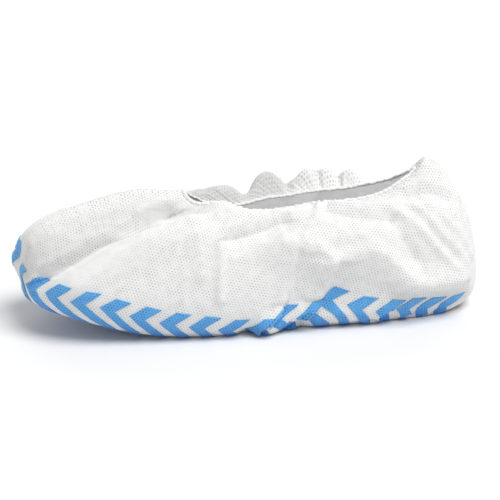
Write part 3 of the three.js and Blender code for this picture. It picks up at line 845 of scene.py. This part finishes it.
# A seam is a narrow crimped strip that follows one column from above the sole to the mouth
def seam_strip(name, skin, material):
    ups = np.linspace(SEAM_FIRST_UP, 1, SEAM_STEPS)
    turn = np.full(SEAM_STEPS, SEAM_TURNS[name])
    step = 1.0 / (skin.shape[1] - 1)
    centre = grid_at(skin, turn, ups)
    before = grid_at(skin, np.mod(turn - step, 1.0), ups)
    after = grid_at(skin, np.mod(turn + step, 1.0), ups)
    across = unit(after - before)
    along = unit(np.gradient(centre, axis=0))
    normal = unit(np.cross(across, along))
    run = np.concatenate([[0], np.cumsum(np.linalg.norm(np.diff(centre, axis=0), axis=-1))])
    wave = np.cos(2 * np.pi * run / SEAM_CRIMP)
    crimp = SEAM_THICKNESS * (SEAM_CRIMP_MEAN + SEAM_CRIMP_SWING * wave)
    points = []
    for side, lift in SEAM_SECTION:
        height = crimp if lift > 0 else np.full(SEAM_STEPS, SEAM_THICKNESS)
        points.append(
            centre + across * SEAM_HALF_WIDTH * side + normal * (height * lift)[:, None]
        )
    points = np.stack(points, 1)
    sides = len(SEAM_SECTION)
    numbers = np.arange(SEAM_STEPS * sides).reshape(SEAM_STEPS, sides)
    faces = grid_quads(np.concatenate([numbers, numbers[:, :1]], 1)).tolist()
    faces.append(numbers[0, ::-1].tolist())
    faces.append(numbers[-1].tolist())
    width = np.array([side * SEAM_HALF_WIDTH for side, _ in SEAM_SECTION])
    marks = np.stack(np.broadcast_arrays(width, run[:, None]), -1)
    return make_piece(name, points.reshape(-1, 3), faces, marks.reshape(-1, 2), material)


# Line along which one side's chevrons are printed: its turns, arc length and sole height
def print_line(smooth, side):
    turns = side_turns(side, PRINT_LINE_STEPS)
    line = grid_at(smooth, turns, np.full(turns.shape, PRINT_LINE_UP))
    line[:, 2] = grid_at(smooth, turns, np.zeros(turns.shape))[:, 2]
    run = np.concatenate([[0], np.cumsum(np.linalg.norm(np.diff(line, axis=0), axis=-1))])
    return turns, run, line


# Where tucks take up cloth, the print behind each one moves ahead and up
def tucked(place, height, smooth, side, run, line):
    for tuck_side, take, lift, _, _, stroke in TUCKS:
        if tuck_side != side:
            continue
        points = np.array([skin_place(smooth, side, x, up) for x, up in stroke])
        tuck = np.interp(height, points[:, 2], np.interp(points[:, 0], line[:, 0], run))
        share = np.clip((place - tuck) / take, 0, 1)
        place = place - take * (1 - TUCK_LEFT) * share
        height = height + lift * share
    return place, height


# Share of the way up at which the skin has some heights, and how far below its edge they lie
def share_up(smooth, turn, height):
    ups = np.linspace(0, PRINT_TOP_UP, PRINT_TOP_STEPS + 1)
    levels = grid_at(smooth, *np.broadcast_arrays(turn[..., None], ups))[..., 2]
    levels = np.maximum.accumulate(levels, -1)
    above = np.clip((levels < height[..., None]).sum(-1), 1, len(ups) - 1)[..., None]
    low = np.take_along_axis(levels, above - 1, -1)[..., 0]
    high = np.take_along_axis(levels, above, -1)[..., 0]
    part = np.clip((height - low) / np.maximum(high - low, SMALL), 0, 1)
    up = ups[above[..., 0] - 1] + part * (ups[1] - ups[0])
    return up, np.maximum(0, levels[..., 0] - height)


# Grid over a chevron's two limbs, cut off beside the toe seam: its turns round the foot, its shares
# of the way up, and how far its points lie under the sole
def chevron_grid(start, side, smooth):
    turns, run, line = print_line(smooth, side)
    level = line[:, 2] + table_value(APEX_LINES[side], line[:, 0])
    lowest = min(0, -np.interp(start, run, level) - CHEVRON_UNDER)
    rise = np.linspace(lowest - CHEVRON_SPARE, CHEVRON_RISE, PRINT_ALONG + 1)
    rise[np.argmin(np.abs(rise))] = 0
    share = np.linspace(0, 1, PRINT_ACROSS + 1)
    ahead = start + CHEVRON_SLOPE * np.abs(rise)[:, None]
    behind = ahead + CHEVRON_WIDTH
    ahead = np.maximum(ahead, CHEVRON_CUT)
    place = ahead + (behind - ahead) * share
    height = np.interp(place, run, level) + rise[:, None]
    place, height = tucked(place, height, smooth, side, run, line)
    turn = np.interp(place, run, turns)
    up, under = share_up(smooth, turn, height)
    return turn, up, under


# Faces of a closed plate from the vertex numbers of its upper grid, which its lower grid follows
def plate_faces(top):
    count = top.size
    rim = np.concatenate([top[0, :], top[1:, -1], top[-1, -2::-1], top[-2:0:-1, 0]])
    rim = np.append(rim, rim[0])
    return np.concatenate([
        grid_quads(top),
        grid_quads(top + count)[:, ::-1],
        grid_quads(np.stack([rim + count, rim])),
    ])


# One chevron as a thin plate laid on the fabric and a little under the sole
def chevron(name, start, side, smooth, skin, places, material):
    turn, up, under = chevron_grid(start, side, smooth)
    foot = grid_at(skin, turn, up)
    opposite = grid_at(skin, 1 - turn, up)
    inward = unit(opposite - foot)
    room = PRINT_UNDER_SHARE * np.linalg.norm(opposite - foot, axis=-1)
    under = np.minimum(under, room)
    foot = foot + inward * under[..., None]
    normal = grid_at(skin_normals(skin), turn, up)
    flat = smoothstep(under, 0, PRINT_TURN)[..., None]
    normal = unit((1 - flat) * normal + flat * DOWN)
    mark = grid_at(places, turn, up)
    mark[..., 1] -= under
    high = foot + PRINT_HIGH * normal
    low = foot + PRINT_LOW * normal
    top = np.arange(turn.size).reshape(turn.shape)
    if side > 0:
        top = top[:, ::-1]
    points = np.concatenate([high.reshape(-1, 3), low.reshape(-1, 3)])
    marks = np.tile(mark.reshape(-1, 2), (2, 1))
    piece = make_piece(name, points, plate_faces(top), marks, material)
    # Painted shade: the print darkens towards the sole edge, where its lower parts face down
    painted_darkening = 1 - smoothstep(up, PRINT_SHADE_LOW, PRINT_SHADE_HIGH)
    store_tone(piece, PAINTED_SHADE_MAP, np.tile(painted_darkening.ravel(), 2))
    return piece


def shader_node(tree, kind, **inputs):
    node = tree.nodes.new(kind)
    for key, value in inputs.items():
        node.inputs[key].default_value = value
    return node


# Link a socket to another node's output, or give it a plain value
def feed(tree, socket, value):
    if hasattr(value, "is_linked"):
        tree.links.new(value, socket)
    else:
        socket.default_value = value


def math_node(tree, operation, *values):
    node = tree.nodes.new("ShaderNodeMath")
    node.operation = operation
    for socket, value in zip(node.inputs, values):
        feed(tree, socket, value)
    return node.outputs[0]


# Smooth step of a value over a range, from a start to 1
def ramp_node(tree, value, low, high, start=0.0):
    node = tree.nodes.new("ShaderNodeMapRange")
    node.interpolation_type = "SMOOTHSTEP"
    node.inputs["From Min"].default_value = low
    node.inputs["From Max"].default_value = high
    node.inputs["To Min"].default_value = start
    node.inputs["To Max"].default_value = 1.0
    tree.links.new(value, node.inputs["Value"])
    return node.outputs["Result"]


def noise_node(tree, vector, scale, detail):
    node = shader_node(tree, "ShaderNodeTexNoise", Scale=scale, Detail=detail)
    tree.links.new(vector, node.inputs["Vector"])
    return node.outputs["Fac"]


# Tone that a piece's points carry under a name, which is 0 on a piece without it
def tone_node(tree, name):
    node = tree.nodes.new("ShaderNodeAttribute")
    node.attribute_name = name
    return node.outputs["Fac"]


# Mask of the dots that rollers press into the fabric: three waves a sixth of a turn apart
def dot_mask(tree, place):
    wave = 2 * np.pi * PLACE_UNIT / DOT_ROW
    total = 0.0
    for angle in np.radians(DOT_WAVE_TURNS):
        along = tree.nodes.new("ShaderNodeVectorMath")
        along.operation = "DOT_PRODUCT"
        along.inputs[1].default_value = (wave * np.cos(angle), wave * np.sin(angle), 0)
        tree.links.new(place, along.inputs[0])
        total = math_node(tree, "ADD", math_node(tree, "COSINE", along.outputs["Value"]), total)
    strength = ramp_node(tree, noise_node(tree, place, *DOT_NOISE), *DOT_NOISE_RANGE, DOT_WEAKEST)
    mask = math_node(tree, "MULTIPLY", ramp_node(tree, total, *DOT_EDGE), strength)
    # Dots fade by the dot-fade map, which paints a highlight on the band below the main near crease
    left = math_node(tree, "SUBTRACT", 1.0, tone_node(tree, DOT_FADE_MAP))
    return math_node(tree, "MULTIPLY", mask, left)


def mix_colour(tree, share, first, second, blend="MIX"):
    node = tree.nodes.new("ShaderNodeMix")
    node.data_type = "RGBA"
    node.blend_type = blend
    for index, value in zip(MIX_SOCKETS, (share, first, second)):
        feed(tree, node.inputs[index], (*value, 1.0) if isinstance(value, tuple) else value)
    return node.outputs[MIX_RESULT]


# Spunbond fabric: pressed dots, cloudy web and fine fibres, with painted shade multiplied in by a map
def fabric_material(name):
    colour, dot_colour, cloud_colour, painted_darkening, roughness, dot_depth, glow, glow_reach = FABRICS[name]
    material = bpy.data.materials.new(name)
    material.use_nodes = True
    tree = material.node_tree
    shader = tree.nodes["Principled BSDF"]
    sheet_place = tree.nodes.new("ShaderNodeUVMap")
    sheet_place.uv_map = PLACE_MAP
    place = sheet_place.outputs["UV"]
    mask = dot_mask(tree, place)
    cloud = ramp_node(tree, noise_node(tree, place, *CLOUD_NOISE), *CLOUD_NOISE_RANGE)
    body = mix_colour(tree, cloud, colour, cloud_colour)
    body = mix_colour(tree, mask, body, dot_colour)
    # Painted shade: the colour is multiplied towards the shade colour by the painted-shade map, which
    # greys parts of the sheet and darkens the print towards the sole edge
    body = mix_colour(tree, tone_node(tree, PAINTED_SHADE_MAP), body, painted_darkening, "MULTIPLY")
    tree.links.new(body, shader.inputs["Base Color"])
    shader.inputs["Roughness"].default_value = roughness
    shader.inputs["Specular IOR Level"].default_value = FABRIC_SPECULAR
    shader.inputs["Subsurface Weight"].default_value = glow
    shader.inputs["Subsurface Radius"].default_value = (1, 1, 1)
    shader.inputs["Subsurface Scale"].default_value = glow_reach * MM
    shader.inputs["Sheen Weight"].default_value = FABRIC_SHEEN
    shader.inputs["Sheen Roughness"].default_value = FABRIC_SHEEN_ROUGHNESS
    fibre = math_node(tree, "MULTIPLY", noise_node(tree, place, *FIBRE_NOISE), FIBRE_HEIGHT)
    height = math_node(tree, "MULTIPLY_ADD", mask, -dot_depth, fibre)
    bump = shader_node(tree, "ShaderNodeBump", Strength=BUMP_STRENGTH, Distance=BUMP_HEIGHT * MM)
    tree.links.new(height, bump.inputs["Height"])
    tree.links.new(bump.outputs["Normal"], shader.inputs["Normal"])
    return material


# Fabric whose share of light that shines through follows its own map instead
def lining_material(name):
    material = fabric_material(name)
    tree = material.node_tree
    shader = tree.nodes["Principled BSDF"]
    tree.links.new(tone_node(tree, GLOW_MAP), shader.inputs["Subsurface Weight"])
    return material


def pale_floor():
    mesh = bpy.data.meshes.new("floor")
    half = FLOOR_HALF
    corners = [(-half, -half, 0), (half, -half, 0), (half, half, 0), (-half, half, 0)]
    mesh.from_pydata(corners, [], [(0, 1, 2, 3)])
    material = bpy.data.materials.new("pale_floor")
    material.use_nodes = True
    shader = material.node_tree.nodes["Principled BSDF"]
    shader.inputs["Base Color"].default_value = (FLOOR_GREY, FLOOR_GREY, FLOOR_GREY, 1)
    shader.inputs["Roughness"].default_value = FLOOR_ROUGHNESS
    shader.inputs["Specular IOR Level"].default_value = FLOOR_SPECULAR
    mesh.materials.append(material)
    floor = bpy.data.objects.new("floor", mesh)
    bpy.context.scene.collection.objects.link(floor)


def studio_light():
    world = bpy.data.worlds.new("studio")
    world.use_nodes = True
    background = world.node_tree.nodes["Background"]
    background.inputs["Color"].default_value = (1, 1, 1, 1)
    background.inputs["Strength"].default_value = WORLD_STRENGTH
    bpy.context.scene.world = world
    for name, (source, spread, strength) in LAMPS.items():
        light = bpy.data.lights.new(name, "SUN")
        light.angle = np.radians(spread)
        light.energy = strength
        lamp = bpy.data.objects.new(name, light)
        lamp.rotation_euler = Vector(source).to_track_quat("Z", "Y").to_euler()
        bpy.context.scene.collection.objects.link(lamp)
    bpy.context.scene.view_settings.view_transform = "Standard"
    bpy.context.scene.view_settings.look = "None"


def photo_camera():
    azimuth, elevation = np.radians(VIEW_AZIMUTH), np.radians(VIEW_ELEVATION)
    right = np.array([np.cos(azimuth), np.sin(azimuth), 0])
    away = np.array([-np.sin(azimuth), np.cos(azimuth), 0])
    up = np.cos(elevation) * np.array([0, 0, 1]) + np.sin(elevation) * away
    back = np.sin(elevation) * np.array([0, 0, 1]) - np.cos(elevation) * away
    place = VIEW_MIDDLE[0] * right + VIEW_MIDDLE[1] * up + VIEW_DISTANCE * back
    lens = bpy.data.cameras.new("photo_camera")
    lens.sensor_width = SENSOR
    lens.lens = SENSOR * VIEW_DISTANCE / VIEW_WIDTH
    lens.clip_end = VIEW_END
    camera = bpy.data.objects.new("photo_camera", lens)
    turn = Matrix((right, up, back)).transposed().to_4x4()
    camera.matrix_world = Matrix.Translation(Vector(place * MM)) @ turn
    bpy.context.scene.collection.objects.link(camera)
    bpy.context.scene.camera = camera


smooth, skin, forms = gathered_skin()
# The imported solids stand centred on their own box, and the fabric sits just clear of the floor
shift = np.array([*FRAME_SHIFT, SOLE_LIFT])
smooth = smooth + shift
skin = skin + shift
places = sheet_places(forms)

white = fabric_material("nonwoven_white")
lining = lining_material("nonwoven_inside_painted_light")
blue = fabric_material("tread_print")
weld = fabric_material("welded_seam")
band = fabric_material("elastic_hem")

cover = cover_fabric(skin, places, white, lining)
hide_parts("cover_body")
hem = elastic_hem(skin, band)
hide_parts("elastic_hem")
for name in SEAM_TURNS:
    seam = seam_strip(name, skin, weld)
    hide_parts(name.replace("weld", "seam"))
for label, side in (("near", -1), ("far", 1)):
    nodes = sorted(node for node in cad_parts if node.startswith("chevron_" + label))
    for k, node in enumerate(nodes):
        start = CHEVRON_START + k * CHEVRON_PITCH
        piece = chevron(node.replace("chevron", "print"), start, side, smooth, skin, places, blue)
        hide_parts(node)

pale_floor()
studio_light()
photo_camera()
